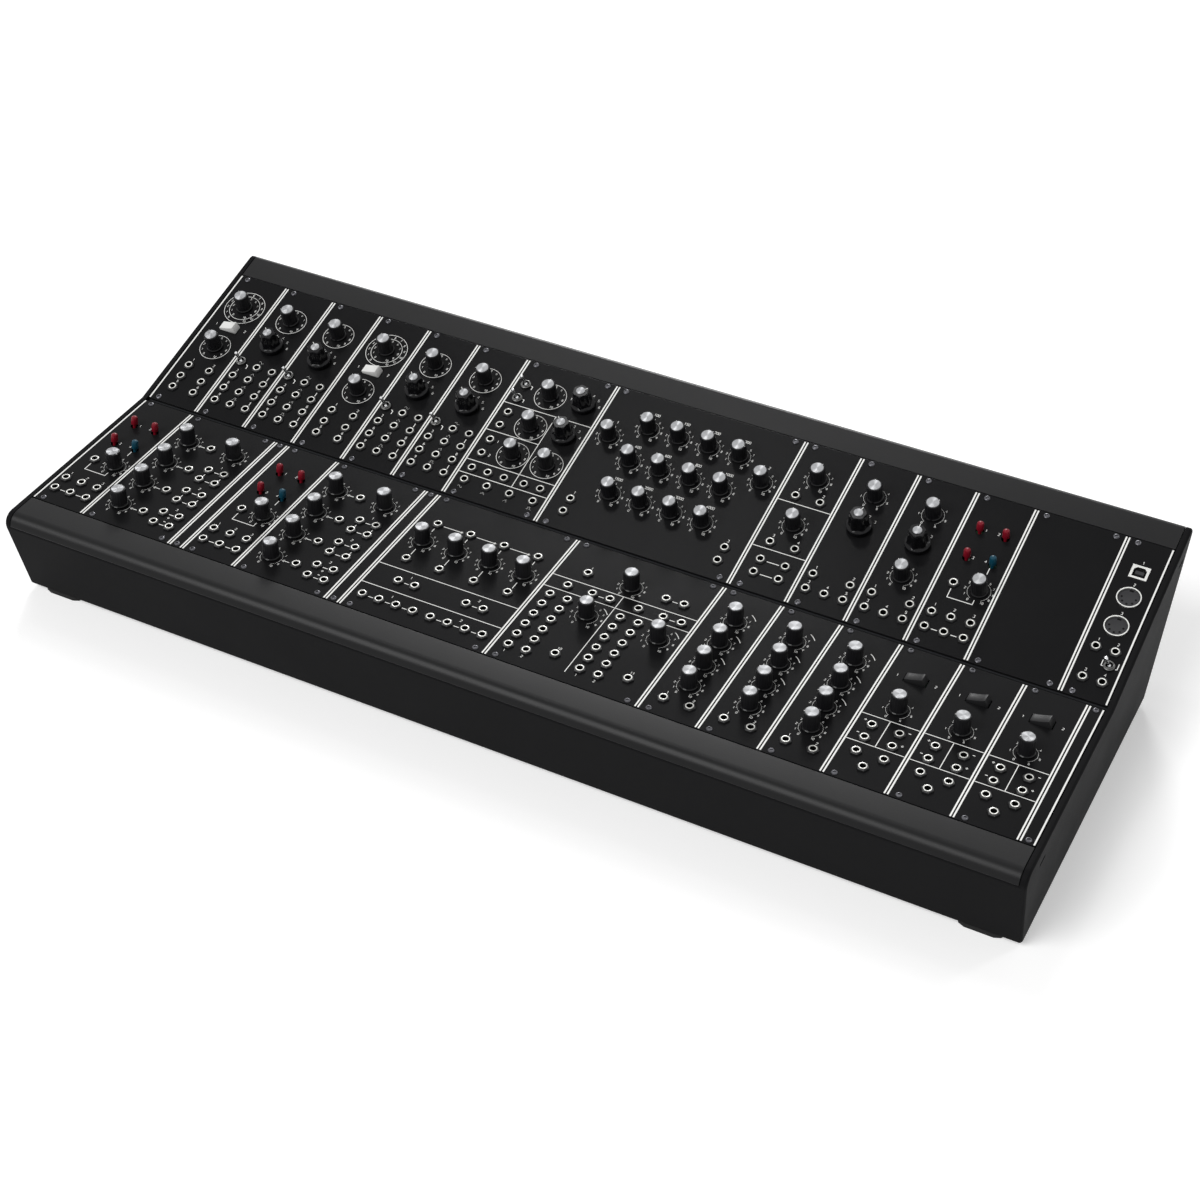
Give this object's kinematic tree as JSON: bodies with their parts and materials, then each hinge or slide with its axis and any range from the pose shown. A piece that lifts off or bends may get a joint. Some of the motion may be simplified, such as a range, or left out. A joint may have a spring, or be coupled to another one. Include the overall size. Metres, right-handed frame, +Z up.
{
  "type": "modular synthesizer",
  "caption": "Desktop modular synthesizer: a black sheet metal case holding a level and a tilted row of patch modules with knobs, sockets, selectors and switches.",
  "frame": {"origin": "on the standing surface, under the middle of the case's width and depth", "axes": "+X to the player's right along the rows, +Y to the back, +Z up"},
  "size_m": [0.7208, 0.3051, 0.1142],
  "materials": {
    "case_paint": "satin powder coat",
    "panel_black": "satin anodised and printed",
    "rail_metal": "plain extrusion",
    "rubber": "matte",
    "circuit_board": "solder mask",
    "switch_black": "fine grain",
    "switch_white": "semi gloss",
    "knob_black": "ribbed, with a turned metal cap",
    "selector_gloss": "gloss, with a metal cap",
    "toggle_chrome": "polished",
    "cap_red": "semi gloss",
    "cap_blue": "semi gloss"
  },
  "bodies": {
    "case": {"case_tub": "case_paint", "front_shell": "case_paint", "rear_shell": "case_paint", "power_entry": "switch_black", "controller_left": "panel_black", "mixer_left": "panel_black", "blank_left": "panel_black", "controller_right": "panel_black", "mixer_right": "panel_black", "blank_middle": "panel_black", "attenuators": "panel_black", "interface": "panel_black", "envelope_1": "panel_black", "envelope_2": "panel_black", "envelope_3": "panel_black", "amplifier_1": "panel_black", "amplifier_2": "panel_black", "amplifier_3": "panel_black", "blank_right": "panel_black", "rail_lower_front": "rail_metal", "rail_lower_rear": "rail_metal", "driver_left": "panel_black", "oscillator_1": "panel_black", "oscillator_2": "panel_black", "driver_right": "panel_black", "oscillator_3": "panel_black", "oscillator_4": "panel_black", "wide_oscillator": "panel_black", "filter_bank": "panel_black", "filter_coupler": "panel_black", "high_pass_filter": "panel_black", "low_pass_filter": "panel_black", "control_voltages": "panel_black", "wide_blank": "panel_black", "note_converter": "panel_black", "rail_upper_front": "rail_metal", "rail_upper_rear": "rail_metal", "supply_board": "circuit_board", "foot_front_left": "rubber", "foot_front_right": "rubber", "foot_rear_left": "rubber", "foot_rear_right": "rubber"},
    "power_switch_body": {"power_switch": "switch_black"},
    "mixer_knob_body": {"mixer_knob": "knob_black"},
    "attenuator_knob_body": {"attenuator_knob": "knob_black"},
    "interface_knob_body": {"interface_knob": "knob_black"},
    "envelope_knob_body": {"envelope_knob": "knob_black"},
    "amplifier_knob_body": {"amplifier_knob": "knob_black"},
    "amplifier_rocker_body": {"amplifier_rocker": "switch_black"},
    "driver_knob_body": {"driver_knob": "knob_black"},
    "driver_rocker_body": {"driver_rocker": "switch_white"},
    "oscillator_knob_body": {"oscillator_knob": "knob_black"},
    "oscillator_selector_body": {"oscillator_selector": "selector_gloss"},
    "oscillator_toggle_body": {"oscillator_toggle": "toggle_chrome"},
    "wide_oscillator_selector_body": {"wide_oscillator_selector": "selector_gloss"},
    "filter_bank_knob_body": {"filter_bank_knob": "knob_black"},
    "coupler_knob_body": {"coupler_knob": "knob_black"},
    "low_pass_knob_body": {"low_pass_knob": "knob_black"},
    "control_lever_red_body": {"control_lever_red": "cap_red"},
    "control_lever_blue_body": {"control_lever_blue": "cap_blue"}
  },
  "joints": [
    {"name": "mixer_knob_turn", "type": "hinge", "parent": "case", "child": "mixer_knob_body", "pos_m": [-0.29768, -0.02734, 0.0706], "axis": [0, 0, 1], "range_deg": [-150, 150]},
    {"name": "attenuator_knob_turn", "type": "hinge", "parent": "case", "child": "attenuator_knob_body", "pos_m": [-0.09565, -0.0479, 0.0706], "axis": [0, 0, 1], "range_deg": [-150, 150]},
    {"name": "interface_knob_turn", "type": "hinge", "parent": "case", "child": "interface_knob_body", "pos_m": [0.04826, -0.02695, 0.0706], "axis": [0, 0, 1], "range_deg": [-150, 150]},
    {"name": "envelope_knob_turn", "type": "hinge", "parent": "case", "child": "envelope_knob_body", "pos_m": [0.12192, -0.02734, 0.0706], "axis": [0, 0, 1], "range_deg": [-270, 30]},
    {"name": "amplifier_knob_turn", "type": "hinge", "parent": "case", "child": "amplifier_knob_body", "pos_m": [0.24392, -0.05625, 0.0706], "axis": [0, 0, 1], "range_deg": [-255, 45]},
    {"name": "driver_knob_turn", "type": "hinge", "parent": "case", "child": "driver_knob_body", "pos_m": [-0.33528, 0.10197, 0.09648], "axis": [0, -0.2588, 0.9659], "range_deg": [-195, 105]},
    {"name": "oscillator_knob_turn", "type": "hinge", "parent": "case", "child": "oscillator_knob_body", "pos_m": [-0.29464, 0.10197, 0.09648], "axis": [0, -0.2588, 0.9659], "range_deg": [-255, 45]},
    {"name": "filter_bank_knob_turn", "type": "hinge", "parent": "case", "child": "filter_bank_knob_body", "pos_m": [-0.00366, 0.10185, 0.09644], "axis": [0, -0.2588, 0.9659], "range_deg": [-240, 60]},
    {"name": "coupler_knob_turn", "type": "hinge", "parent": "case", "child": "coupler_knob_body", "pos_m": [0.12192, 0.10185, 0.09644], "axis": [0, -0.2588, 0.9659], "range_deg": [-120, 180]},
    {"name": "low_pass_knob_turn", "type": "hinge", "parent": "case", "child": "low_pass_knob_body", "pos_m": [0.2032, 0.10185, 0.09644], "axis": [0, -0.2588, 0.9659], "range_deg": [-105, 195]},
    {"name": "oscillator_selector_turn", "type": "hinge", "parent": "case", "child": "oscillator_selector_body", "pos_m": [-0.29464, 0.07615, 0.08956], "axis": [0, -0.2588, 0.9659], "range_deg": [-120, 30]},
    {"name": "wide_oscillator_selector_turn", "type": "hinge", "parent": "case", "child": "wide_oscillator_selector_body", "pos_m": [-0.05579, 0.10507, 0.09731], "axis": [0, -0.2588, 0.9659], "range_deg": [-30, 120]},
    {"name": "oscillator_toggle_tip", "type": "hinge", "parent": "case", "child": "oscillator_toggle_body", "pos_m": [-0.30886, 0.05651, 0.08543], "axis": [0, 0.9659, 0.2588], "range_deg": [0, 36]},
    {"name": "control_lever_red_tip", "type": "hinge", "parent": "case", "child": "control_lever_red_body", "pos_m": [0.23592, 0.10071, 0.09572], "axis": [1, 0, 0], "range_deg": [0, 24]},
    {"name": "control_lever_blue_tip", "type": "hinge", "parent": "case", "child": "control_lever_blue_body", "pos_m": [0.25335, 0.07824, 0.0897], "axis": [1, 0, 0], "range_deg": [0, 24]},
    {"name": "driver_rocker_tip", "type": "hinge", "parent": "case", "child": "driver_rocker_body", "pos_m": [-0.3352, 0.08212, 0.09012], "axis": [0, 0.9659, 0.2588], "range_deg": [0, 32]},
    {"name": "amplifier_rocker_tip", "type": "hinge", "parent": "case", "child": "amplifier_rocker_body", "pos_m": [0.24376, -0.02579, 0.0696], "axis": [0, 1, 0], "range_deg": [0, 32]},
    {"name": "power_switch_tip", "type": "hinge", "parent": "case", "child": "power_switch_body", "pos_m": [-0.24952, 0.11398, 0.02961], "axis": [0, 0.4695, 0.8829], "range_deg": [0, 32]}
  ]
}
